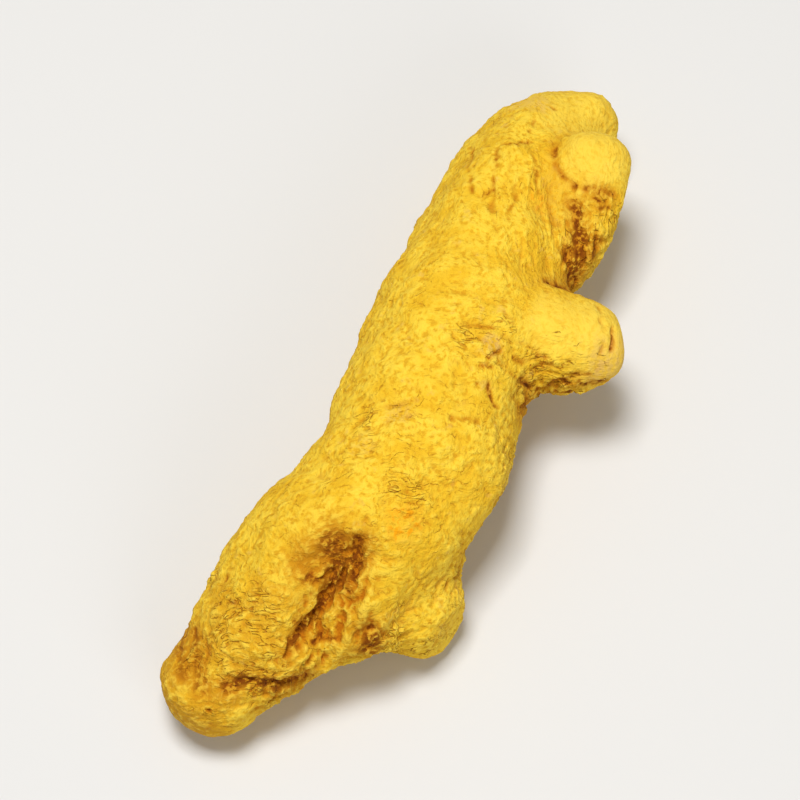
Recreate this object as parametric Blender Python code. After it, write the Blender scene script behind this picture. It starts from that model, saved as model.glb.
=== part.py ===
"""A dried turmeric rhizome, lying on its back on three small flats.

It grew as one piece, so it is one solid: a stout main finger with a blunt crown, a thumb-like side
branch at mid length, a club-shaped branch pressed against its upper end, and two lobes at its base
with a shrunken hollow between them. +X runs along the main finger from the base lobes to the crown,
+Z is up, and the origin is on the resting plane under the middle of the root.
"""

import itertools

import bmesh
import bpy
import numpy as np

MM = 0.001

# Driving dimensions, in millimetres: the length of the root and the thickness of its main finger.
LENGTH = 66.0
GIRTH = 15.4

# Each limb is a row of stations: the place along the root as a share of LENGTH, then the offset to
# the side, the height of the centre and the radius as shares of GIRTH.
LIMBS = {
    "main finger": [
        (-0.334, -0.06, 0.42, 0.36),
        (-0.241, -0.14, 0.50, 0.48),
        (-0.155, -0.24, 0.55, 0.49),
        (-0.082, -0.26, 0.59, 0.50),
        (-0.006, -0.18, 0.60, 0.51),
        (0.073, -0.08, 0.59, 0.50),
        (0.162, 0.00, 0.55, 0.49),
        (0.251, 0.12, 0.50, 0.44),
        (0.374, 0.20, 0.41, 0.39),
        (0.436, 0.22, 0.34, 0.30),
    ],
    "left base lobe": [
        (-0.268, -0.07, 0.44, 0.34),
        (-0.347, -0.02, 0.36, 0.32),
        (-0.426, 0.04, 0.28, 0.29),
    ],
    "right base lobe": [
        (-0.225, -0.17, 0.45, 0.35),
        (-0.216, -0.42, 0.38, 0.30),
        (-0.208, -0.66, 0.26, 0.27),
    ],
    "thumb": [
        (0.112, -0.15, 0.63, 0.34),
        (0.150, -0.41, 0.67, 0.29),
        (0.176, -0.665, 0.67, 0.26),
    ],
    "club branch": [
        (0.250, -0.17, 0.50, 0.18),
        (0.293, -0.31, 0.57, 0.17),
        (0.345, -0.30, 0.66, 0.18),
        (0.394, -0.17, 0.73, 0.23),
    ],
    "crown": [
        (0.408, 0.17, 0.42, 0.30),
        (0.475, 0.09, 0.43, 0.20),
    ],
}

BALL_STEP = 0.6  # distance between the balls strung along a limb
SPHERE_EVERY = 2  # of those balls, every second one is enough for the first rough surface
BLEND = 0.7  # how softly one limb runs into the next
EDGE = 0.92  # edge length of the mesh
ROUNDS = 6  # times that the mesh is relaxed and drawn back onto the skin

# Dents and low knobs on the skin: the centre, in the shares that the stations use, then the radius
# and the height in millimetres, which is below zero for a dent.
SPOTS = {
    "upper end of the hollow between the base lobes": (-0.244, -0.36, 0.95, 1.9, -1.3),
    "upper middle of that hollow": (-0.280, -0.39, 0.87, 2.4, -2.1),
    "lower middle of that hollow": (-0.314, -0.40, 0.78, 2.4, -2.1),
    "lower end of that hollow": (-0.347, -0.39, 0.67, 2.2, -1.5),
    "upper end of the ridge beside it": (-0.236, -0.56, 0.82, 1.8, 0.7),
    "middle of that ridge": (-0.270, -0.60, 0.68, 1.8, 0.8),
    "lower end of that ridge": (-0.301, -0.60, 0.54, 1.8, 0.7),
    "shoulder below the crown": (0.325, 0.17, 0.88, 3.2, 0.7),
    "dent above the thumb": (0.195, -0.24, 0.98, 2.4, -0.4),
    "dent below the thumb": (0.070, -0.56, 0.68, 3.0, -0.7),
    "knob under the left side": (0.060, 0.26, 0.22, 2.6, 1.0),
    "knob under the crown": (0.330, -0.10, 0.10, 2.4, 0.9),
    "dent on the back": (-0.080, 0.10, 0.20, 3.6, -0.9),
    "second dent on the back": (0.180, 0.24, 0.16, 3.0, -0.8),
    "low point of the left base lobe": (-0.385, 0.05, 0.03, 3.0, 0.9),
    "low point of the right base lobe": (-0.211, -0.58, 0.02, 2.8, 0.9),
    "low point of the crown": (0.400, 0.21, 0.02, 3.2, 1.2),
}

# Flat scars: a limb, how far its last ball reaches past its centre before the scar cuts it, as a
# share of the radius, and the way that the scar faces.
SCARS = [
    ("thumb", 0.80, (0.62, -0.77, -0.12)),
    ("right base lobe", 0.72, (-0.15, -0.97, 0.10)),
]
SCAR_SPREAD = 2.0  # how far from the last ball's centre the scar's plane cuts, in radii

# Leaf-scar rings: how far apart they are along a limb, how high and wide, and how far they wander.
RING_GAP = 6.5
RING_HEIGHT = 0.22
RING_WIDTH = 0.9
RING_WANDER = 2.0
RING_WANDER_WAVE = 7.0

# Uneven swelling, the lumps on it and the furrows that drying leaves: height and wavelength. A
# furrow lies where its noise is within FURROW_BAND of zero.
SWELL = 0.8
SWELL_WAVE = 10.0
LUMP = 0.6
LUMP_WAVE = 4.6
FURROW = 0.32
FURROW_WAVE = 4.2
FURROW_LENGTH = 10.0
FURROW_BAND = 0.22

# Seeds of the noises. Each limb's furrows count on from theirs.
SWELL_SEED = 7
FURROW_SEED = 8
WANDER_SEED = 27
LUMP_SEED = 37


def noise(points, seed):
    """Smooth gradient noise from about -0.7 to 0.7, at points whose unit is one wavelength.

    Each corner of the unit cell that holds a point has a random direction. The noise is the dot
    product of that direction with the step from the corner, faded smoothly between the corners.
    """
    draw = np.random.default_rng(seed)
    order = draw.permutation(256)
    slopes = draw.normal(size=(256, 3))
    slopes /= np.linalg.norm(slopes, axis=1, keepdims=True)
    cell = np.floor(points).astype(int)
    inside = points - cell
    fade = inside**3 * (inside * (inside * 6 - 15) + 10)
    total = np.zeros(len(points))
    for corner in itertools.product((0, 1), repeat=3):
        x, y, z = ((cell + corner) & 255).T
        slope = slopes[order[(order[(order[x] + y) & 255] + z) & 255]]
        share = np.prod(np.where(corner, fade, 1 - fade), axis=1)
        total += share * (slope * (inside - corner)).sum(axis=1)
    return total


def string_balls(stations):
    """Rows of x, y, z and radius in millimetres, on a Catmull-Rom curve through a limb's stations."""
    knots = np.array(stations) * (LENGTH, GIRTH, GIRTH, GIRTH)
    knots = np.vstack([2 * knots[0] - knots[1], knots, 2 * knots[-1] - knots[-2]])
    rows = []
    for before, start, end, after in zip(knots, knots[1:], knots[2:], knots[3:]):
        count = max(2, round(np.linalg.norm((end - start)[:3]) / BALL_STEP))
        t = np.arange(count)[:, None] / count
        bend = 2 * before - 5 * start + 4 * end - after
        twist = 3 * start - before - 3 * end + after
        rows.append(start + 0.5 * ((end - before) * t + bend * t**2 + twist * t**3))
    rows.append(knots[-2:-1])
    return np.vstack(rows)


def directions(balls):
    """Along, up and across a limb at each of its balls, as unit vectors at right angles."""
    along = np.gradient(balls[:, :3], axis=0)
    along /= np.linalg.norm(along, axis=1, keepdims=True)
    up = np.array([0.0, 0.0, 1.0]) - along * along[:, 2:]
    up /= np.linalg.norm(up, axis=1, keepdims=True)
    return along, up, np.cross(along, up)


def nearest_ball(points, balls):
    """Distance from each point to a limb's skin, and which ball of the limb is nearest."""
    least = np.full(len(points), np.inf)
    nearest = np.zeros(len(points), int)
    for number, ball in enumerate(balls):
        gap = np.linalg.norm(points - ball[:3], axis=1) - ball[3]
        closer = gap < least
        least[closer] = gap[closer]
        nearest[closer] = number
    return least, nearest


def skin(points, limbs):
    """Distance from each point to the blended skin, the outward direction, and each limb's share.

    The limbs' distances are joined by a smooth minimum: minus BLEND times the logarithm of the sum of
    exp(-distance / BLEND).
    """
    found = [nearest_ball(points, balls) for balls in limbs]
    gaps = np.array([gap for gap, _ in found])
    least = gaps.min(axis=0)
    shares = np.exp((least - gaps) / BLEND)
    total = shares.sum(axis=0)
    shares /= total
    outward = np.zeros_like(points)
    for (_, nearest), balls, share in zip(found, limbs, shares):
        away = points - balls[nearest, :3]
        outward += share[:, None] * away / np.linalg.norm(away, axis=1, keepdims=True)
    return least - BLEND * np.log(total), outward, shares, [nearest for _, nearest in found]


def relief(points, limbs, shares, nearest):
    """Height of the skin above the smooth limbs: swellings, long furrows and leaf-scar rings."""
    height = SWELL * noise(points / SWELL_WAVE, SWELL_SEED)
    height += LUMP * noise(points / LUMP_WAVE, LUMP_SEED)
    wander = RING_WANDER * noise(points / RING_WANDER_WAVE, WANDER_SEED)
    for x, y, z, radius, rise in SPOTS.values():
        away = points - np.array((x * LENGTH, y * GIRTH, z * GIRTH))
        height += rise * np.exp(-((away / radius) ** 2).sum(axis=1))
    for number, (balls, share, index) in enumerate(zip(limbs, shares, nearest)):
        along, up, across = directions(balls)
        run = np.linalg.norm(np.diff(balls[:, :3], axis=0), axis=1)
        place = np.concatenate([[0], run.cumsum()])[index]
        away = points - balls[index, :3]
        place += (away * along[index]).sum(axis=1)
        turned = np.stack(
            [
                place / FURROW_LENGTH,
                (away * up[index]).sum(axis=1) / FURROW_WAVE,
                (away * across[index]).sum(axis=1) / FURROW_WAVE,
            ],
            axis=1,
        )
        furrow = -FURROW * np.exp(-((noise(turned, FURROW_SEED + number) / FURROW_BAND) ** 2))
        from_ring = (place + wander + RING_GAP / 2) % RING_GAP - RING_GAP / 2
        ring = RING_HEIGHT * np.exp(-((from_ring / RING_WIDTH) ** 2))
        height += share * (furrow + ring)
    return height


def ball_object(limbs):
    """One object that holds overlapping spheres along each limb and one at its end."""
    shape = bmesh.new()
    rows = [balls[::SPHERE_EVERY] for balls in limbs] + [balls[-1:] for balls in limbs]
    for x, y, z, radius in np.vstack(rows):
        made = bmesh.ops.create_icosphere(shape, subdivisions=3, radius=radius)
        bmesh.ops.translate(shape, vec=(x, y, z), verts=made["verts"])
    mesh = bpy.data.meshes.new("balls")
    shape.to_mesh(mesh)
    shape.free()
    balls = bpy.data.objects.new("balls", mesh)
    bpy.context.scene.collection.objects.link(balls)
    return balls


def fused_mesh(balls):
    """The balls as one closed surface of even quads."""
    fuse = balls.modifiers.new("fuse", "REMESH")
    fuse.mode = "VOXEL"
    fuse.voxel_size = EDGE
    graph = bpy.context.evaluated_depsgraph_get()
    mesh = bpy.data.meshes.new_from_object(balls.evaluated_get(graph))
    bpy.data.objects.remove(balls)
    return mesh


def relax(points, edges):
    """Each point moved half-way to the mean of its neighbours."""
    total = np.zeros_like(points)
    count = np.zeros(len(points))
    for one, other in (edges.T, edges.T[::-1]):
        np.add.at(total, one, points[other])
        np.add.at(count, one, 1)
    return 0.5 * (points + total / count[:, None])


def cut_flat(points, ball, reach, facing):
    """The points with those in front of a limb's last ball pressed back onto the plane of its scar."""
    facing = np.array(facing) / np.linalg.norm(facing)
    past = (points - ball[:3]) @ facing - reach * ball[3]
    near = np.linalg.norm(points - ball[:3], axis=1) < SCAR_SPREAD * ball[3]
    return points - np.where(near, np.maximum(past, 0.0), 0.0)[:, None] * facing


def shape_root():
    """The root's mesh: the balls fused, drawn onto the smooth skin, raised, cut flat and centred."""
    limbs = [string_balls(stations) for stations in LIMBS.values()]
    mesh = fused_mesh(ball_object(limbs))
    points = np.empty(len(mesh.vertices) * 3)
    mesh.vertices.foreach_get("co", points)
    points = points.reshape(-1, 3)
    edges = np.empty(len(mesh.edges) * 2, int)
    mesh.edges.foreach_get("vertices", edges)
    edges = edges.reshape(-1, 2)
    for _ in range(ROUNDS):
        points = relax(points, edges)
        gap, outward, _, _ = skin(points, limbs)
        points -= gap[:, None] * outward
    _, outward, shares, nearest = skin(points, limbs)
    outward /= np.linalg.norm(outward, axis=1, keepdims=True)
    points = points + outward * relief(points, limbs, shares, nearest)[:, None]
    for name, reach, facing in SCARS:
        points = cut_flat(points, string_balls(LIMBS[name])[-1], reach, facing)
    points[:, 2] = np.maximum(points[:, 2], 0.0)
    points[:, :2] -= (points[:, :2].min(axis=0) + points[:, :2].max(axis=0)) / 2
    mesh.vertices.foreach_set("co", (points * MM).ravel())
    mesh.update()
    mesh.shade_smooth()
    return mesh


def turmeric_skin():
    """Dusty, matt yellow ochre."""
    material = bpy.data.materials.new("turmeric skin")
    material.use_nodes = True
    shader = material.node_tree.nodes["Principled BSDF"]
    shader.inputs["Base Color"].default_value = (0.76, 0.42, 0.04, 1)
    shader.inputs["Roughness"].default_value = 0.85
    shader.inputs["Metallic"].default_value = 0.0
    return material


for old in list(bpy.data.objects):
    bpy.data.objects.remove(old)
root = bpy.data.objects.new("rhizome", shape_root())
root.data.materials.append(turmeric_skin())
bpy.context.scene.collection.objects.link(root)
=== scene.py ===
"""A dried turmeric root at rest on a pale floor, in soft studio light.

The solid gives the root's form. Its skin is made fine here: lumps, wrinkles, creases, crumpled
hollows and rootlet scars in the mesh, then dusty yellow ochre with pale tips and brown crevices,
darkened further with painted shade in crevices, creases, hollows and at the left end.
The root's places and sizes are in millimetres, those of the floor, camera and lamps in metres.
"""

import itertools
import math

import bmesh
import bpy
import numpy as np
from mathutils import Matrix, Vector


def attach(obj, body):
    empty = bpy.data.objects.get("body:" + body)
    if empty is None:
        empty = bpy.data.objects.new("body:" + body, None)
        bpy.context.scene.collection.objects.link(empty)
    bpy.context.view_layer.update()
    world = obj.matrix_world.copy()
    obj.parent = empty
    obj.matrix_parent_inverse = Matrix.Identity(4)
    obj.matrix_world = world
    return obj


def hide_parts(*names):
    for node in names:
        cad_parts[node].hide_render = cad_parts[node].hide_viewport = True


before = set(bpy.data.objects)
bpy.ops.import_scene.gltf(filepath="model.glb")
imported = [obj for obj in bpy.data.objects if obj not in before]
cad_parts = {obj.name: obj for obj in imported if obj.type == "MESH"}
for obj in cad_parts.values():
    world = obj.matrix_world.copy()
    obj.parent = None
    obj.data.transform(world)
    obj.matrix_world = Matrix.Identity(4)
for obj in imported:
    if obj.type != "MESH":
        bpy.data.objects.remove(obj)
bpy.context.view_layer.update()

# The form. A turmeric root is one swollen underground stem: a main finger with a blunt crown, a
# thumb, a club-shaped branch and a forked base. It was boiled and dried whole until it was hard.
# The solid has that form. Here it becomes even quads, fine enough for the skin, without its facets.
MM = 0.001
WELD = 0.01
QUAD = 0.22
FACET_ROUNDS = 47


def even_quads(solid, size):
    """A solid's loose triangles welded, then remeshed as one closed surface of quads of one size."""
    mesh = solid.data.copy()
    welded = bmesh.new()
    welded.from_mesh(mesh)
    bmesh.ops.remove_doubles(welded, verts=welded.verts, dist=WELD * MM)
    welded.to_mesh(mesh)
    welded.free()
    holder = bpy.data.objects.new("holder", mesh)
    bpy.context.scene.collection.objects.link(holder)
    remesh = holder.modifiers.new("even quads", "REMESH")
    remesh.mode = "VOXEL"
    remesh.voxel_size = size * MM
    graph = bpy.context.evaluated_depsgraph_get()
    fine = bpy.data.meshes.new_from_object(holder.evaluated_get(graph))
    bpy.data.objects.remove(holder)
    fine.materials.clear()
    return fine


def read(layer, name, width):
    """One property of all of a mesh's points or edges, as an array of rows."""
    flat = np.empty(width * len(layer), np.int32 if name == "vertices" else np.float32)
    layer.foreach_get(name, flat)
    return flat.reshape(-1, width)


def move_points(mesh, points):
    """Puts a mesh's points at new places, given in millimetres."""
    mesh.vertices.foreach_set("co", (points * MM).ravel().astype(np.float32))
    mesh.update()


def spread(points, rounds):
    """Points, each moved half-way to the mean of its neighbours in every round."""
    for _ in range(rounds):
        means = [np.bincount(joined, column[joining]) / neighbours for column in points.T]
        points = 0.5 * (points + np.array(means).T)
    return points


root_mesh = even_quads(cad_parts["rhizome"], QUAD)
edges = read(root_mesh.edges, "vertices", 2)
joined = np.concatenate([edges[:, 0], edges[:, 1]])
joining = np.concatenate([edges[:, 1], edges[:, 0]])
neighbours = np.bincount(joined)
form = spread(read(root_mesh.vertices, "co", 3).astype(float) / MM, FACET_ROUNDS)
move_points(root_mesh, form)
outward = read(root_mesh.vertex_normals, "vector", 3).astype(float)

# The bare tips. Where the thumb, the club branch and the crown end, the young skin is thin, taut
# and pale, and it hardly wrinkled. Each tip is a ball round the end of its limb: its middle, its
# radius and how bare it is. The edges of all such balls are ragged.
TIPS = {
    "thumb": (10.9, -9.6, 12.4, 4.4, 1.0),
    "top of the thumb": (9.6, -6.4, 14.2, 3.8, 0.85),
    "club branch": (24.8, -0.3, 14.0, 4.0, 0.9),
    "crown": (29.8, 3.9, 10.2, 5.2, 0.7),
    "left base lobe": (-33.0, 3.6, 4.2, 3.0, 0.5),
    "right base lobe": (-14.8, -11.2, 4.0, 3.6, 0.3),
}
PATCH_EDGE = (1.15, 0.55)
RAGGED_WAVE = 2.2


def smooth(low, high, values):
    """0 at low and beyond, 1 at high and beyond, and a smooth step between. Either may be greater."""
    t = np.clip((values - low) / (high - low), 0, 1)
    return t * t * (3 - 2 * t)


def cell_hash(cell, order):
    """A number from 0 to 255 for each cell of a cubic grid, mixed up by a shuffled list."""
    x, y, z = (cell & 255).T
    return order[(order[(order[x] + y) & 255] + z) & 255]


def noise(points, seed):
    """Smooth gradient noise from about -0.7 to 0.7, at points whose unit is one wavelength.

    Each corner of the unit cell that holds a point has a random direction. The noise is the dot
    product of that direction with the step from the corner, faded smoothly between the corners.
    """
    draw = np.random.default_rng(seed)
    order = draw.permutation(256)
    slopes = draw.normal(size=(256, 3))
    slopes /= np.linalg.norm(slopes, axis=1, keepdims=True)
    cell = np.floor(points).astype(int)
    inside = points - cell
    fade = inside**3 * (inside * (inside * 6 - 15) + 10)
    total = np.zeros(len(points))
    for corner in itertools.product((0, 1), repeat=3):
        share = np.prod(np.where(corner, fade, 1 - fade), axis=1)
        total += share * (slopes[cell_hash(cell + corner, order)] * (inside - corner)).sum(axis=1)
    return total


def patches(places, points, ragged, seed):
    """How much each point is in any of some balls: the strongest of their strengths there.

    The distance to a ball's middle is taken in radii, with noise added, and the ball's strength
    fades in between the two distances of PATCH_EDGE.
    """
    most = np.zeros(len(points))
    uneven = ragged * noise(points / RAGGED_WAVE, seed)
    for x, y, z, radius, strength in places.values():
        away = np.linalg.norm(points - (x, y, z), axis=1) / radius + uneven
        most = np.maximum(most, strength * smooth(*PATCH_EDGE, away))
    return most


tip = patches(TIPS, form, ragged=0.35, seed=11)

# The skin. The flesh shrank under it in drying, so it lies in low lumps and in fine wrinkles. They
# run across the fingers as the leaf rings did, and turn to run along them between two places on
# the way up to the crown. Each ball says how much more its place wrinkled than the rest.
WRINKLED = {
    "below the thumb": (6.6, -7.8, 11.0, 4.6, 1.0),
    "above the thumb": (4.2, -2.4, 15.6, 3.4, 0.5),
    "below the club branch": (19.0, -3.4, 10.4, 4.6, 0.9),
    "lower body": (-9.0, 0.0, 15.6, 5.0, 0.36),
    "left base lobe": (-27.0, 1.0, 9.0, 5.4, 0.7),
    "right base lobe": (-17.0, -8.4, 6.0, 6.0, 0.5),
    "right flank": (-4.0, -7.6, 6.0, 6.0, 0.6),
    "back": (6.0, 8.0, 5.0, 7.0, 0.8),
    "underside": (0.0, -1.0, 1.5, 8.0, 0.7),
    "back of the left lobe": (-24.0, 7.0, 5.0, 5.0, 0.3),
}
USUAL_WRINKLED = 0.58
MORE_WRINKLED = 0.6
WRINKLED_SWING = 0.5
WRINKLED_WAVE = 3.5
WRINKLED_LIMITS = (0.2, 1.15)
ACROSS_FINGERS = (0.54, -0.84, 0.0)
ALONG_FINGERS = (0.84, 0.54, 0.0)
GRAIN_TURNS = (5.0, 17.0)
TURN_SWING = 6
TURN_WAVE = 6
LUMP_HEIGHT = 0.30
LUMP_WAVE = 2.9
SMALL_LUMP_HEIGHT = 0.15
SMALL_LUMP_WAVE = 1.3
WRINKLE_DEPTH = 0.56
WRINKLE_WIDTH = 1.1
WRINKLE_LENGTH = 3.6
FINE_WRINKLE_DEPTH = 0.45
FINE_WRINKLE_WIDTH = 0.60
FINE_WRINKLE_LENGTH = 1.8
MEAN_FOLD = 0.2
DRIFT = 1.2
DRIFT_WAVE = 5.5


def grained(points, grain, wide, long):
    """Points scaled so that noise at them is stretched: long along the grain and wide across it.

    Each point is divided by wide, and its part along the grain by long instead.
    """
    axis = np.array(grain) / np.linalg.norm(grain)
    return points / wide + np.outer(points @ axis, axis) * (1 / long - 1 / wide)


def folds(points, grain, wide, long, seed):
    """Rounded crests from 0 to about 0.7 between sharp valleys: the size of stretched noise."""
    return np.abs(noise(grained(points, grain, wide, long), seed))


def crests(grain, seed, fine_seed):
    """Height of the wrinkles that run along the grain: coarse folds and fine folds, added."""
    coarse = folds(drifted, grain, WRINKLE_WIDTH, WRINKLE_LENGTH, seed)
    fine = folds(drifted, grain, FINE_WRINKLE_WIDTH, FINE_WRINKLE_LENGTH, fine_seed)
    return WRINKLE_DEPTH * coarse + FINE_WRINKLE_DEPTH * fine


drift = [DRIFT * noise(form / DRIFT_WAVE, seed) for seed in (21, 22, 23)]
drifted = form + np.array(drift).T
lumps = LUMP_HEIGHT * noise(form / LUMP_WAVE, 24)
lumps += SMALL_LUMP_HEIGHT * noise(drifted / SMALL_LUMP_WAVE, 30)
crownward = smooth(*GRAIN_TURNS, form[:, 0] + TURN_SWING * noise(form / TURN_WAVE, 28))
wrinkled = USUAL_WRINKLED + WRINKLED_SWING * noise(form / WRINKLED_WAVE, 29)
wrinkled += MORE_WRINKLED * patches(WRINKLED, form, ragged=0.6, seed=20)
wrinkled = np.clip(wrinkled, *WRINKLED_LIMITS)
wrinkles = (1 - crownward) * crests(ACROSS_FINGERS, 25, 27) + crownward * crests(ALONG_FINGERS, 26, 19)
wrinkles -= MEAN_FOLD * (WRINKLE_DEPTH + FINE_WRINKLE_DEPTH)

# The creases. The drying flesh drew the skin down along a few lines, and it split in some of them.
# Each is a path over the skin, its half width, its depth and how brown it is; that brown is partly
# split skin and partly painted shade in the crease. The small ridges that stayed between them are a
# path, a half width and a height.
CREASES = [
    ([(19.9, -1.0, 12.6), (18.2, -2.6, 11.9), (16.4, -3.7, 10.4), (15.4, -4.4, 9.6)], 0.62, 0.45, 1.0),
    ([(16.9, -2.3, 11.6), (15.5, -3.2, 10.5), (14.5, -3.8, 9.1)], 0.42, 0.50, 1.0),
    ([(18.9, -4.0, 11.5), (17.8, -4.3, 10.6)], 0.40, 0.30, 0.9),
    ([(21.8, -0.9, 13.3), (22.1, -2.0, 13.2), (22.8, -3.0, 12.8)], 0.30, 0.35, 0.9),
    ([(21.4, -2.0, 12.9), (21.7, -2.7, 12.7)], 0.28, 0.30, 1.0),
    ([(20.9, -2.7, 12.5), (21.6, -3.4, 12.3)], 0.28, 0.30, 1.0),
    ([(24.4, 3.7, 12.4), (22.6, 2.6, 12.9), (21.7, 1.2, 12.8), (21.5, 0.0, 12.9)], 0.26, 0.42, 0.9),
    ([(12.6, -2.7, 13.0), (13.0, -3.3, 12.5), (13.6, -4.1, 11.0)], 0.40, 0.50, 1.0),
    ([(4.6, -4.3, 14.4), (5.0, -5.0, 13.5)], 0.22, 0.34, 1.0),
    ([(6.2, -5.5, 13.3), (6.4, -6.2, 13.0)], 0.20, 0.28, 1.0),
    ([(5.9, -6.3, 12.5), (6.3, -7.1, 12.4)], 0.20, 0.28, 0.8),
    ([(3.7, -5.5, 12.7), (4.6, -6.0, 10.8)], 0.30, 0.38, 1.0),
    ([(5.0, -6.4, 10.1), (5.1, -6.6, 8.7)], 0.28, 0.36, 1.0),
    ([(5.9, -7.4, 10.4), (6.3, -7.9, 10.8), (6.5, -8.5, 10.6)], 0.30, 0.40, 1.0),
    ([(7.0, -8.8, 11.5), (7.5, -9.7, 11.5)], 0.28, 0.36, 1.0),
    ([(7.0, -9.2, 10.7), (7.5, -10.2, 10.3), (8.2, -10.8, 9.8)], 0.36, 0.36, 1.0),
    ([(6.0, -7.6, 8.9), (7.0, -8.5, 8.6), (8.1, -9.8, 8.0)], 0.36, 0.40, 1.0),
    ([(3.3, -6.2, 9.7), (4.4, -6.7, 8.0), (5.6, -7.2, 6.6)], 0.55, 0.40, 0.9),
    ([(2.5, -6.3, 10.2), (2.9, -6.5, 7.6)], 0.45, 0.25, 0.6),
    ([(1.0, -4.1, 15.2), (0.3, -4.9, 14.8), (0.0, -5.4, 14.2)], 0.24, 0.30, 1.0),
    ([(3.1, -3.6, 15.5), (3.2, -4.4, 14.8)], 0.18, 0.26, 0.8),
    ([(0.3, -3.4, 15.7), (1.3, -4.1, 15.0)], 0.18, 0.28, 0.8),
    ([(1.6, -2.8, 15.9), (2.2, -3.5, 15.3)], 0.18, 0.28, 0.8),
    ([(2.9, -4.3, 14.8), (3.5, -5.2, 13.6)], 0.18, 0.28, 0.8),
    ([(3.8, 0.1, 16.7), (4.4, -1.1, 16.2), (5.4, -1.9, 15.8)], 0.18, 0.28, 0.8),
    ([(2.8, -2.9, 16.0), (4.1, -3.4, 15.5)], 0.20, 0.30, 0.9),
    ([(7.1, -1.9, 15.7), (6.6, -2.9, 15.5)], 0.16, 0.25, 0.8),
    ([(-3.3, -3.4, 16.2), (-2.9, -4.4, 15.8), (-1.9, -5.1, 15.2)], 0.20, 0.28, 0.7),
    ([(-15.9, -2.3, 14.4), (-16.6, -2.8, 13.1), (-17.9, -3.3, 12.0)], 0.60, 0.70, 1.0),
    ([(-17.2, -0.9, 14.6), (-17.7, -1.7, 12.9), (-18.8, -1.7, 11.6)], 1.30, 0.65, 0.9),
    ([(-19.8, 0.0, 14.0), (-18.4, -0.7, 14.0), (-17.4, -1.8, 13.2)], 1.30, 0.75, 0.6),
    ([(-20.7, -0.4, 13.2), (-19.6, -1.1, 12.8), (-18.7, -2.5, 11.1), (-18.8, -3.8, 11.5)], 0.35, 0.38, 0.9),
    ([(-19.3, -2.0, 10.6), (-20.9, -1.6, 10.2), (-22.8, -1.5, 10.0), (-24.6, -1.6, 9.7)], 0.55, 0.65, 1.0),
    ([(-23.5, -2.3, 8.9), (-22.5, -3.0, 9.1), (-22.0, -4.2, 9.3)], 0.30, 0.38, 1.0),
    ([(-25.4, -1.6, 9.7), (-23.6, -1.4, 10.2), (-23.0, -1.2, 10.9)], 0.35, 0.40, 0.9),
    ([(-20.5, -6.4, 9.9), (-21.4, -6.8, 8.2)], 0.80, 0.60, 1.0),
    ([(-24.4, -4.0, 5.1), (-26.1, -3.2, 6.5), (-27.9, -1.9, 7.8)], 0.70, 1.00, 1.0),
    ([(-27.9, -1.9, 7.8), (-29.0, -0.1, 8.6), (-30.1, 1.1, 8.4)], 0.60, 0.70, 1.0),
    ([(-27.4, 6.2, 7.9), (-29.6, 4.4, 8.3), (-31.5, 3.0, 7.9)], 0.50, 0.22, 0.8),
    ([(-28.2, 4.0, 9.3), (-29.8, 3.5, 8.5), (-31.3, 2.3, 8.0)], 0.40, 0.20, 0.7),
    ([(-27.9, 7.0, 6.3), (-30.8, 4.9, 7.8)], 0.60, 0.22, 0.8),
    ([(-22.4, 5.8, 10.7), (-23.2, 5.8, 10.5)], 0.20, 0.25, 0.9),
    ([(21.4, 10.0, 10.5), (18.9, 8.8, 12.2), (15.9, 6.9, 14.0)], 0.20, 0.28, 0.75),
    ([(21.1, 7.4, 13.3), (19.0, 6.5, 13.8), (17.1, 5.5, 14.1), (15.3, 4.2, 14.6)], 0.20, 0.28, 0.75),
    ([(21.8, 7.4, 13.2), (22.4, 6.3, 13.4), (23.3, 5.6, 12.9)], 0.20, 0.28, 0.9),
    ([(24.3, 6.0, 12.5), (25.8, 6.4, 11.8)], 0.18, 0.24, 0.6),
    ([(18.4, 4.2, 14.1), (17.4, 3.3, 14.0), (15.3, 2.7, 14.6)], 0.20, 0.22, 0.6),
    ([(22.0, 4.3, 13.5), (20.8, 3.2, 13.4), (19.3, 2.4, 13.3)], 0.20, 0.24, 0.7),
    ([(15.8, 6.1, 14.1), (16.6, 5.6, 14.1)], 0.20, 0.24, 0.9),
    ([(11.7, -9.6, 13.2), (10.9, -10.2, 13.1), (10.2, -10.6, 12.8)], 0.26, 0.60, 1.0),
    ([(13.2, -7.3, 12.6), (11.5, -8.7, 13.6), (9.8, -9.7, 13.3), (8.3, -10.2, 11.9)], 0.20, 0.30, 0.2),
    ([(-8.0, 7.0, 9.0), (-3.0, 8.4, 7.0), (2.0, 8.0, 8.5)], 0.40, 0.42, 0.8),
    ([(8.0, 9.0, 5.0), (12.0, 9.6, 7.0), (15.0, 9.0, 5.0)], 0.30, 0.36, 0.8),
    ([(-18.0, 6.0, 4.0), (-14.0, 6.6, 6.0), (-12.0, 6.0, 8.0)], 0.35, 0.36, 0.8),
    ([(26.0, 9.0, 6.0), (28.0, 6.0, 10.0)], 0.18, 0.25, 0.6),
    ([(-12.0, -7.0, 6.0), (-8.0, -8.2, 7.0), (-5.0, -8.0, 9.0)], 0.35, 0.40, 0.8),
    ([(0.0, -7.5, 4.0), (4.0, -7.0, 5.0), (9.0, -6.0, 3.0)], 0.45, 0.42, 0.9),
    ([(-6.0, 0.0, 1.0), (0.0, 1.0, 1.0), (5.0, -1.0, 1.0)], 0.45, 0.40, 0.8),
    ([(10.0, 4.0, 1.0), (15.0, 2.0, 1.0)], 0.30, 0.34, 0.7),
    ([(-22.0, 1.0, 1.0), (-18.0, -2.0, 1.0)], 0.60, 0.45, 0.9),
]
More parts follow.
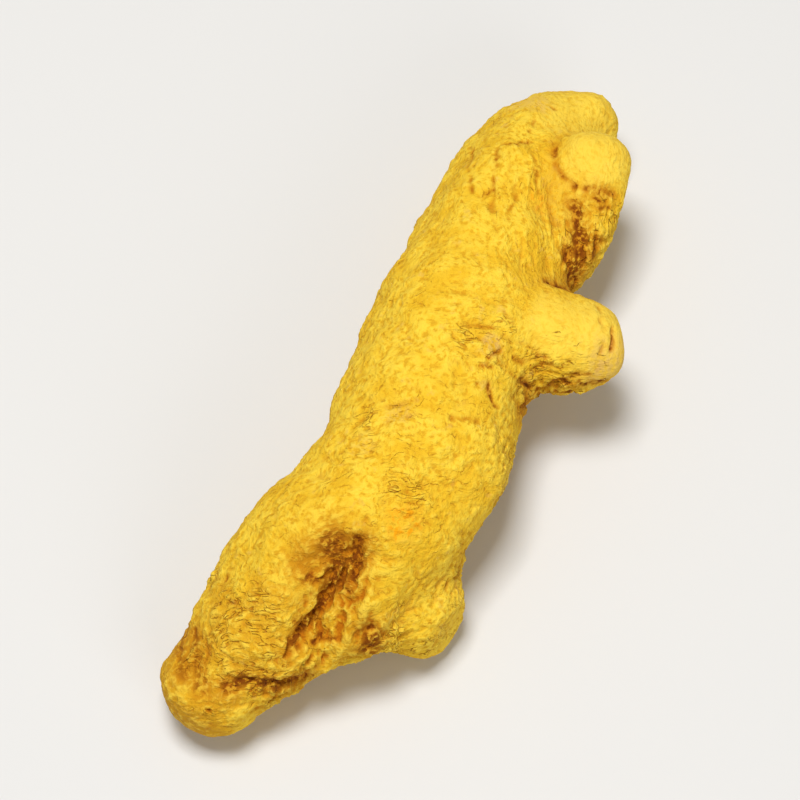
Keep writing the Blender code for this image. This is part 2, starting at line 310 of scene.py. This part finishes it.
RIDGES = [
    ([(-18.8, -5.1, 11.6), (-20.4, -4.8, 10.4), (-22.3, -4.8, 8.8), (-24.3, -4.1, 6.8)], 0.80, 0.50),
    ([(-18.2, -3.5, 11.8), (-19.9, -3.0, 10.5), (-21.4, -2.9, 9.6)], 0.40, 0.38),
    ([(-21.4, -2.1, 9.6), (-23.0, -2.1, 9.1), (-25.2, -2.6, 8.8)], 0.40, 0.32),
    ([(19.7, -2.9, 12.2), (18.3, -3.7, 11.4), (17.3, -4.2, 10.5)], 0.40, 0.35),
]
CREASE_DEPTH = 0.75
CREASE_WANDER = 0.5
CREASE_WANDER_WAVE = 1.1
GAP_WAVE = 0.85
GAP_EDGE = (-0.25, 0.15)
LEFT_IN_GAPS = 0.45
GAPPED_WIDTH = 0.25
GAPS_IN_BROWN = 0.3
HAIRLINE_WIDTH = 0.3
HAIRLINE_FADE = 0.8
CREASE_FADE = 0.35


def distance_to_path(points, path):
    """Distance from each point to a path, which first moves onto the skin: the nearest of its lines."""
    path = [form[np.linalg.norm(form - place, axis=1).argmin()] for place in path]
    nearest = np.full(len(points), np.inf)
    for start, end in zip(path, path[1:]):
        run = end - start
        t = np.clip((points - start) @ run / (run @ run), 0, 1)
        nearest = np.minimum(nearest, np.linalg.norm(points - start - np.outer(t, run), axis=1))
    return nearest


def drawn_along(path, width):
    """A wandering line with soft sides: e to minus the square of the distance in half widths."""
    return np.exp(-((distance_to_path(wandered, path) / width) ** 2))


wander = [CREASE_WANDER * noise(form / CREASE_WANDER_WAVE, seed) for seed in (31, 32, 33)]
wandered = form + np.array(wander).T
crease = np.zeros(len(form))
seam_and_painted_shade = np.zeros(len(form))
ridge = np.zeros(len(form))
gapped = LEFT_IN_GAPS + (1 - LEFT_IN_GAPS) * smooth(*GAP_EDGE, noise(form / GAP_WAVE, 34))
for path, width, depth, brown in CREASES:
    drawn = drawn_along(path, width)
    uneven = gapped ** min(1, GAPPED_WIDTH / width)
    fade = HAIRLINE_FADE if width < HAIRLINE_WIDTH else CREASE_FADE
    crease = np.maximum(crease, CREASE_DEPTH * depth * uneven * drawn)
    seam_and_painted_shade = np.maximum(seam_and_painted_shade, brown * uneven**GAPS_IN_BROWN * drawn**fade)
for path, width, high in RIDGES:
    ridge = np.maximum(ridge, high * drawn_along(path, width))

# The crumpled hollows. Between the base lobes, under the thumb and beside the club branch the skin
# shrank most and crumpled, with sharp little crests round hollows that are brown where no dust
# reaches and painted browner still as shade.
CRUMPLED = {
    "upper end of the hollow": (-15.8, -2.8, 14.6, 2.0, 0.35),
    "upper middle of the hollow": (-17.4, -2.8, 12.8, 2.6, 0.5),
    "middle of the hollow": (-19.4, -2.6, 11.2, 3.4, 1.0),
    "lower middle of the hollow": (-21.6, -2.4, 10.0, 3.2, 1.0),
    "lower end of the hollow": (-24.2, -2.6, 8.8, 2.8, 0.9),
    "flank of the ridge": (-20.2, -4.2, 10.2, 2.6, 0.8),
    "below the ridge": (-21.6, -6.8, 7.4, 3.4, 0.7),
    "crease under the left lobe": (-27.6, -2.6, 5.6, 3.0, 0.7),
    "under the thumb": (6.2, -7.6, 8.4, 3.2, 0.6),
    "corner under the thumb": (3.4, -7.2, 8.0, 2.6, 0.25),
    "groove beside the club branch": (14.6, -4.0, 8.4, 2.0, 0.4),
    "under the club branch": (20.6, -2.8, 6.2, 3.0, 0.6),
    "behind the right lobe": (-12.0, -6.8, 6.0, 3.2, 0.7),
    "under the left lobe": (-22.0, 5.4, 1.6, 3.4, 0.6),
}
CRUMPLE_HEIGHT = 1.5
CRUMPLE_WIDTH = 1.36
CRUMPLE_LENGTH = 2.21
CRUMPLE_GRAIN = (0.80, 0.25, 0.50)
CRUMPLE_MIDDLE = 0.25
CRUMPLE_SIZES = 3
CRUMPLE_FINER = 1.9
CRUMPLE_LOWER = 1.6


def crumple(points, seed):
    """Sharp crests round rounded hollows: CRUMPLE_MIDDLE less the size of noise, at a few sizes.

    Each size is CRUMPLE_FINER times finer and CRUMPLE_LOWER times lower than the one before, and
    they are added.
    """
    total = 0
    for turn in range(CRUMPLE_SIZES):
        size = np.abs(noise(points * CRUMPLE_FINER**turn, seed + turn))
        total = total + (CRUMPLE_MIDDLE - size) / CRUMPLE_LOWER**turn
    return total


crumpled = patches(CRUMPLED, form, ragged=0.6, seed=41)
crumpling = grained(drifted, CRUMPLE_GRAIN, CRUMPLE_WIDTH, CRUMPLE_LENGTH)
crumples = CRUMPLE_HEIGHT * crumple(crumpling, 42)

# The rootlet scars. Rootlets tore off when the root was polished and left small round scars, each a
# pit in a low rim, most of them on the side that it lies on. The pit, the rim and the rim's width
# are in radii of the scar.
ROOTLET_SCARS = 22
SCAR_RADIUS = 0.42
SCAR_RADIUS_RANGE = (0.6, 1.3)
SCARS_ON_TOP = 0.15
SCAR_DEPTH = 0.22
SCAR_RIM = 0.12
PIT_RADIUS = 0.75
RIM_RADIUS = 1.25
RIM_WIDTH = 0.35

draw = np.random.default_rng(51)
likely = (1 + SCARS_ON_TOP - outward[:, 2]) * (1 - tip)
chosen = draw.choice(len(form), ROOTLET_SCARS, replace=False, p=likely / likely.sum())
scar = np.zeros(len(form))
rim = np.zeros(len(form))
for place, size in zip(form[chosen], SCAR_RADIUS * draw.uniform(*SCAR_RADIUS_RANGE, ROOTLET_SCARS)):
    from_scar = np.linalg.norm(wandered - place, axis=1) / size
    scar = np.maximum(scar, np.exp(-((from_scar / PIT_RADIUS) ** 4)))
    rim = np.maximum(rim, np.exp(-(((from_scar - RIM_RADIUS) / RIM_WIDTH) ** 2)))

# The relief. All of that stands on the form, straight out of it. Lumps and wrinkles are lower at the
# taut tips, wrinkles also in the crumpled hollows, and the flats that it rests on stay flat.
TIP_CALM = 0.8
HOLLOW_CALM = 0.6

calm = 1 - TIP_CALM * tip
height = calm * (lumps + wrinkled * wrinkles * (1 - HOLLOW_CALM * crumpled))
height += crumpled * crumples + ridge - crease + SCAR_RIM * rim - SCAR_DEPTH * scar
skin = form + outward * height[:, None]
skin[:, 2] = np.maximum(skin[:, 2], 0)
move_points(root_mesh, skin)

# The crevices. Dust lies on what stands out and not in the gaps, and brown shade is painted into
# the crevices and nooks. How far a point lies below the mean of the skin round it is worked out
# twice, over about half a millimetre and over about two, and a crevice, a crest or a nook fades in
# between two such depths or heights.
NARROW_ROUNDS = 15
WIDE_ROUNDS = 268
CREVICE_DEPTHS = (0.0, 0.12)
CREST_HEIGHTS = (0.01, 0.12)
NOOK_DEPTHS = (-0.02, 0.40)

near = spread(skin, NARROW_ROUNDS)
wide = spread(near, WIDE_ROUNDS)
narrow_depth = ((near - skin) * outward).sum(axis=1)
wide_depth = ((wide - near) * outward).sum(axis=1)
crevice_shade = smooth(*CREVICE_DEPTHS, narrow_depth)
crest = smooth(*CREST_HEIGHTS, -narrow_depth)
nook_shade = smooth(*NOOK_DEPTHS, wide_depth)

# The colour. Under the dust the skin is yellow ochre, browner where it broke, with a few orange
# stains where the flesh shows through and dull rosy-grey spots of old skin. All of it is matt.
# Shade is painted in brown too: in crevices, nooks, creases and hollows, and as painted shadow over
# the left end, below and under the thumb and along the club stem.
# Brown patches, partly worn skin and partly painted shade and shadow: over the left end and the left lobe,
# the crease under it, below and under the thumb, the club stem and the hollow.
WORN_AND_SHADED = {
    "left end": (-33.6, 3.0, 5.6, 5.6, 1.0),
    "left side of the left lobe": (-31.0, 6.0, 6.4, 5.8, 0.95),
    "crease under the left lobe": (-28.0, -2.6, 5.0, 3.6, 0.9),
    "below the club's end": (21.9, -2.4, 12.6, 1.9, 0.55),
    "club stem": (18.2, -3.0, 11.2, 2.2, 0.85),
    "groove": (15.4, -3.8, 10.0, 2.0, 0.8),
    "under the thumb": (6.2, -8.4, 9.4, 3.0, 0.1),
    "below the thumb": (3.4, -6.6, 8.4, 2.6, 0.95),
    "left lobe": (-26.6, 1.6, 10.5, 5.4, 0.7),
    "upper hollow": (-17.4, -1.6, 13.4, 3.2, 1.0),
    "left of the upper hollow": (-19.4, -0.4, 13.8, 2.6, 0.85),
    "hollow": (-18.8, -2.4, 11.4, 3.2, 0.75),
    "lower hollow": (-23.0, -3.0, 8.8, 3.4, 0.5),
}
STAINED = {
    "below the crown": (18.6, 1.8, 13.0, 1.2, 0.7),
    "top of the hollow": (-12.6, -5.0, 14.8, 1.9, 1.0),
    "under the crown": (17.0, 6.6, 9.0, 2.6, 0.7),
    "left side": (-9.0, 5.0, 9.0, 3.0, 0.6),
    "underside": (6.0, 0.0, 1.2, 4.0, 0.7),
}
BARE = {
    "end of the thumb": (9.9, -11.2, 12.0, 2.9, 0.75),
    "left of the thumb": (4.0, -2.7, 15.7, 1.2, 0.8),
    "middle of the body": (-5.4, 0.4, 16.6, 1.4, 0.35),
    "below the middle": (-9.4, 1.6, 16.0, 1.2, 0.3),
    "crown": (27.6, 7.6, 9.4, 2.2, 0.5),
    "back": (4.0, 9.0, 7.0, 2.4, 0.6),
    "right flank": (-3.0, -8.2, 8.0, 2.0, 0.6),
}
GOLD = (0.87, 0.60, 0.048, 1)
OCHRE = (0.78, 0.465, 0.019, 1)
TAN = (0.62, 0.30, 0.010, 1)
DUST = (0.89, 0.63, 0.062, 1)
PALE_TIP = (0.88, 0.62, 0.070, 1)
ROSY_GREY = (0.68, 0.41, 0.105, 1)
STAIN = (0.84, 0.36, 0.006, 1)
BROWN = (0.47, 0.155, 0.003, 1)
BARK = (0.27, 0.075, 0.002, 1)
UMBER = (0.15, 0.030, 0.001, 1)

# The hairline dashes' spacing and width, and how many half spacings noise swings them.
DASH_SPACING = 0.80
DASH_WIDTH = 0.18
DASH_SWING = 7.0

# The depth of the finest relief, the roughness, and how much smoother the tips are.
BUMP_DEPTH = 0.17
ROUGHNESS = 0.92
TIP_SMOOTHER = 0.12
SHINE = 0.12


class Socket:
    """A socket of a material's nodes. Python maths on it adds Math nodes."""

    def __init__(self, tree, socket=None):
        self.tree = tree
        self.socket = socket

    def node(self, kind, settings, values, output=0):
        """Adds a node: its settings first, then the value or link of each socket."""
        added = self.tree.nodes.new("ShaderNode" + kind)
        for name, setting in settings.items():
            setattr(added, name, setting)
        for name, value in values.items():
            if isinstance(value, Socket):
                self.tree.links.new(value.socket, added.inputs[name])
            else:
                added.inputs[name].default_value = value
        return Socket(self.tree, added.outputs[output])

    def maths(self, operation, *values):
        """A Math node on some sockets and numbers."""
        return self.node("Math", {"operation": operation}, dict(enumerate(values)))

    def __add__(self, other):
        return self.maths("ADD", self, other)

    def __sub__(self, other):
        return self.maths("SUBTRACT", self, other)

    def __rsub__(self, other):
        return self.maths("SUBTRACT", other, self)

    def __mul__(self, other):
        return self.maths("MULTIPLY", self, other)

    def __abs__(self):
        return self.maths("ABSOLUTE", self)

    __radd__ = __add__
    __rmul__ = __mul__

    def step(self, low, high):
        """0 at low and 1 at high, with a smooth step between them."""
        settings = {"interpolation_type": "SMOOTHSTEP"}
        values = {"Value": self, "From Min": min(low, high), "From Max": max(low, high)}
        rising = self.node("MapRange", settings, values)
        return rising if low < high else 1 - rising

    def mix(self, off, on):
        """A colour that goes from off to on as this number goes from 0 to 1."""
        return self.node("Mix", {"data_type": "RGBA"}, {0: self, 6: off, 7: on}, 2)

    def speckle(self, size, detail):
        """Noise from 0 to 1 at this place in millimetres, with features of about that size."""
        return self.node("TexNoise", {}, {"Vector": self, "Scale": 1 / size, "Detail": detail})

    def stretched(self, grain, wide, long):
        """This place, scaled so that noise at it is long along the grain and wide across it."""
        turn = (0, 0, math.atan2(grain[1], grain[0]))
        values = {"Vector": self, "Rotation": turn, "Scale": (long, wide, wide)}
        return self.node("Mapping", {"vector_type": "TEXTURE"}, values)


def place_in_mm(start):
    """Where on the root a point is, in millimetres."""
    place = start.node("TexCoord", {}, {}, "Object")
    return start.node("VectorMath", {"operation": "SCALE"}, {0: place, "Scale": 1 / MM})


def pushed(place, wave, reach):
    """The place, pushed about so that what is drawn on it wanders.

    The push is slow noise in three directions, less a half, times twice the reach.
    """
    push = place.node("TexNoise", {}, {"Vector": place, "Scale": 1 / wave, "Detail": 1.0}, "Color")
    push = place.node("VectorMath", {"operation": "SUBTRACT"}, {0: push, 1: (0.5, 0.5, 0.5)})
    push = place.node("VectorMath", {"operation": "SCALE"}, {0: push, "Scale": 2 * reach})
    return place.node("VectorMath", {"operation": "ADD"}, {0: place, 1: push})


def fold_height(place, grain):
    """Height of fine folds along the grain: how far stretched noise is from its middle."""
    return abs(place.stretched(grain, 0.50, 2.1).speckle(1.0, 1.2) - 0.5)


def dashes(place, grain, across):
    """Thin broken lines that follow the grain, one after the other in the direction across it.

    The way across, swung by noise, goes to and fro between 0 and 1, and a line lies where it nears
    0. Noise that is long along the grain cuts it into dashes, and slow noise fades some of them.
    """
    run = place.node("VectorMath", {"operation": "DOT_PRODUCT"}, {0: place, 1: across}, "Value")
    run = run * (2 / DASH_SPACING) + place.speckle(1.6, 3.0) * DASH_SWING
    line = place.maths("PINGPONG", run, 1.0).step(DASH_WIDTH / DASH_SPACING, 0.0)
    line = line * place.stretched(grain, 0.45, 1.1).speckle(1.0, 2.0).step(0.49, 0.60)
    return line * (0.25 + 0.75 * place.speckle(2.6, 1.0).step(0.40, 0.58))


def dusty_skin():
    """Dust over ochre: each layer in turn takes the colour from dusty gold to what shows there."""
    material = bpy.data.materials.new("dusty turmeric skin")
    material.use_nodes = True
    tree = material.node_tree
    shader = tree.nodes["Principled BSDF"]
    start = Socket(tree)

    def mask(name):
        """One of the numbers that the root's points carry, such as how bare it is, or how worn and shaded
        it is painted.
        """
        return start.node("Attribute", {"attribute_name": name}, {}, "Fac")

    shared = ("tip", "wrinkled", "crownward", "crumpled", "crevice_shade", "nook_shade", "worn_and_painted_shade", "seam_and_painted_shade")
    tip, wrinkled, crownward, crumpled, crevice_shade, nook_shade, worn_and_painted_shade, seam_and_painted_shade = map(mask, shared)
    place = place_in_mm(start)
    loose = pushed(place, 3.0, 0.7)
    grain = loose.speckle(0.45, 3.0)
    fine = place.speckle(0.16, 2.0)
    very_wrinkled = wrinkled.step(0.70, 1.00)

    # Fine folds and thin dashes, across the fingers and then up towards the crown. In the most
    # wrinkled places, cracks and the brown bottoms of some folds are added.
    fold = fold_height(loose, ACROSS_FINGERS) * (1 - crownward)
    fold = fold + fold_height(loose, ALONG_FINGERS) * crownward
    dash = dashes(loose, ACROSS_FINGERS, ALONG_FINGERS) * (1 - crownward)
    dash = dash + dashes(loose, ALONG_FINGERS, ACROSS_FINGERS) * crownward
    dash = dash * (0.2 + 0.8 * wrinkled) * (1 - tip * 0.8)
    crack = dashes(pushed(place, 2.0, 0.5), ACROSS_FINGERS, ALONG_FINGERS) * very_wrinkled
    pleat = fold.step(0.045, 0.0) * very_wrinkled * (1 - tip)
    pleat = pleat * place.speckle(0.9, 1.0).step(0.45, 0.57) * (1 - crownward * 0.8)

    # How much of each colour covers what is under it, from the bottom layer to the top one.
    spots = place.speckle(1.1, 3.0).step(0.60, 0.72)
    layers = [
        (spots * 0.4, ROSY_GREY),
        (mask("stain") * grain.step(0.35, 0.60), STAIN),
        (tip * 0.8, PALE_TIP),
        (mask("bare") * (0.4 + 0.6 * grain.step(0.40, 0.55)), ROSY_GREY),
        # Painted shade: brown in the nooks and crumpled hollows, where shade falls.
        (nook_shade * 0.4 + crumpled * 0.2, BROWN),
        # Worn skin and painted shade and shadow: brown, and bark-dark in places, over those patches.
        (worn_and_painted_shade * (0.3 + 0.6 * grain.step(0.66, 0.42)), BROWN),
        (worn_and_painted_shade.step(0.5, 1.0) * grain.step(0.52, 0.38) * 0.55, BARK),
        (grain.step(0.56, 0.40) * (1 - tip * 0.6) * 0.7, OCHRE),
        (grain.step(0.44, 0.34) * (1 - tip * 0.7) * 0.55, TAN),
        (mask("crest") * grain.step(0.38, 0.56) * 0.75, DUST),
        # Painted shade: brown in the crevices, where shade falls and dust is missing.
        (crevice_shade * (0.5 + 0.5 * crumpled), BROWN),
        (dash * (0.75 + 0.25 * wrinkled.step(0.75, 1.05)), BROWN),
        (crack * 0.8, BARK),
        (pleat * 0.8, BROWN),
        # Brown in the creases, partly split skin and partly painted shade; the umber is painted shade in
        # them.
        (seam_and_painted_shade * (0.4 + 0.6 * grain.step(0.66, 0.42)), BROWN),
        (seam_and_painted_shade.step(0.5, 1.0) * grain.step(0.60, 0.44) * 0.9, UMBER),
    ]
    colour = place.speckle(2.6, 2.0).step(0.36, 0.68).mix(GOLD, OCHRE)
    for cover, layer_colour in layers:
        colour = cover.mix(colour, layer_colour)

    # The finest relief, in shares of the bump's depth.
    bump_height = fold * 1.7 * wrinkled - dash * 0.4 - crack * 0.6 - pleat * 0.5
    bump_height = bump_height + grain * 1.3 * (1 - tip * 0.5) + fine * 0.35
    bump_values = {"Strength": 1.0, "Distance": BUMP_DEPTH * MM, "Height": bump_height}
    bump = start.node("Bump", {}, bump_values, "Normal")
    roughness = ROUGHNESS - tip * TIP_SMOOTHER
    tree.links.new(colour.socket, shader.inputs["Base Color"])
    tree.links.new(roughness.socket, shader.inputs["Roughness"])
    tree.links.new(bump.socket, shader.inputs["Normal"])
    shader.inputs["Specular IOR Level"].default_value = SHINE
    return material


masks = {
    "tip": tip,
    "crumpled": crumpled,
    "crevice_shade": crevice_shade,
    "crest": crest,
    "nook_shade": nook_shade,
    "wrinkled": wrinkled,
    "crownward": crownward,
    "seam_and_painted_shade": np.maximum(seam_and_painted_shade, scar),
    "stain": patches(STAINED, form, ragged=0.5, seed=61),
    "worn_and_painted_shade": patches(WORN_AND_SHADED, form, ragged=0.8, seed=62),
    "bare": patches(BARE, form, ragged=0.7, seed=63),
}
for name, values in masks.items():
    layer = root_mesh.attributes.new(name, "FLOAT", "POINT")
    layer.data.foreach_set("value", values.astype(np.float32))
root_mesh.shade_smooth()
root_mesh.materials.append(dusty_skin())
root = bpy.data.objects.new("turmeric_root", root_mesh)
bpy.context.scene.collection.objects.link(root)
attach(root, "root")
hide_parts("rhizome")

# The floor. A plain matt sheet of pale paper, laid flat under the root and so wide that no edge of
# it is in sight.
FLOOR_HALF = 1.5
FLOOR_COLOUR = (0.69, 0.69, 0.685, 1)
FLOOR_ROUGHNESS = 0.9

corners = [(x * FLOOR_HALF, y * FLOOR_HALF, 0) for x, y in ((-1, -1), (1, -1), (1, 1), (-1, 1))]
floor_mesh = bpy.data.meshes.new("floor")
floor_mesh.from_pydata(corners, [], [(0, 1, 2, 3)])
floor_material = bpy.data.materials.new("pale floor")
floor_material.use_nodes = True
floor_shader = floor_material.node_tree.nodes["Principled BSDF"]
floor_shader.inputs["Base Color"].default_value = FLOOR_COLOUR
floor_shader.inputs["Roughness"].default_value = FLOOR_ROUGHNESS
floor_mesh.materials.append(floor_material)
floor = bpy.data.objects.new("floor", floor_mesh)
bpy.context.scene.collection.objects.link(floor)

# The camera and the light. The root lies down, so the camera looks down on it, turned so that the
# main finger leans to the upper right. The light is broad and soft and comes from the picture's top.
# Each lamp is a square: its place to the camera's right, up and back, its side and its power.
AZIMUTH = math.radians(-57.6)
ELEVATION = math.radians(65)
AIM = np.array((-0.00097, 0.00321, 0.00731))
PICTURE_WIDTH = 0.067
LENS = 135
SENSOR = 36
CLIP_START = 0.01
LAMPS = {
    "window": ((-0.04, 0.19, 0.355), 0.13, 1.55),
    "fill": ((0.13, -0.18, 0.23), 0.20, 0.25),
}
ROOM_COLOUR = (1.0, 0.93, 0.82, 1)
ROOM_STRENGTH = 0.29

level = math.cos(ELEVATION)
back = np.array((math.sin(AZIMUTH) * level, -math.cos(AZIMUTH) * level, math.sin(ELEVATION)))
right = np.array((math.cos(AZIMUTH), math.sin(AZIMUTH), 0))
up = np.cross(back, right)


def look_from(thing, place):
    """Puts a camera or a lamp at a place in the camera's right, up and back, turned to the root."""
    spot = AIM + place[0] * right + place[1] * up + place[2] * back
    thing.location = spot
    thing.rotation_mode = "QUATERNION"
    thing.rotation_quaternion = Vector(spot - AIM).to_track_quat("Z", "Y")


camera_data = bpy.data.cameras.new("camera")
camera_data.lens = LENS
camera_data.sensor_width = SENSOR
camera_data.clip_start = CLIP_START
camera = bpy.data.objects.new("camera", camera_data)
bpy.context.scene.collection.objects.link(camera)
look_from(camera, (0, 0, PICTURE_WIDTH * LENS / SENSOR))
bpy.context.scene.camera = camera

for name, (place, size, power) in LAMPS.items():
    lamp_data = bpy.data.lights.new(name, "AREA")
    lamp_data.size = size
    lamp_data.energy = power
    lamp = bpy.data.objects.new(name, lamp_data)
    bpy.context.scene.collection.objects.link(lamp)
    look_from(lamp, place)

world = bpy.data.worlds.new("studio")
world.use_nodes = True
room = world.node_tree.nodes["Background"]
room.inputs["Color"].default_value = ROOM_COLOUR
room.inputs["Strength"].default_value = ROOM_STRENGTH
bpy.context.scene.world = world
bpy.context.scene.view_settings.view_transform = "Standard"
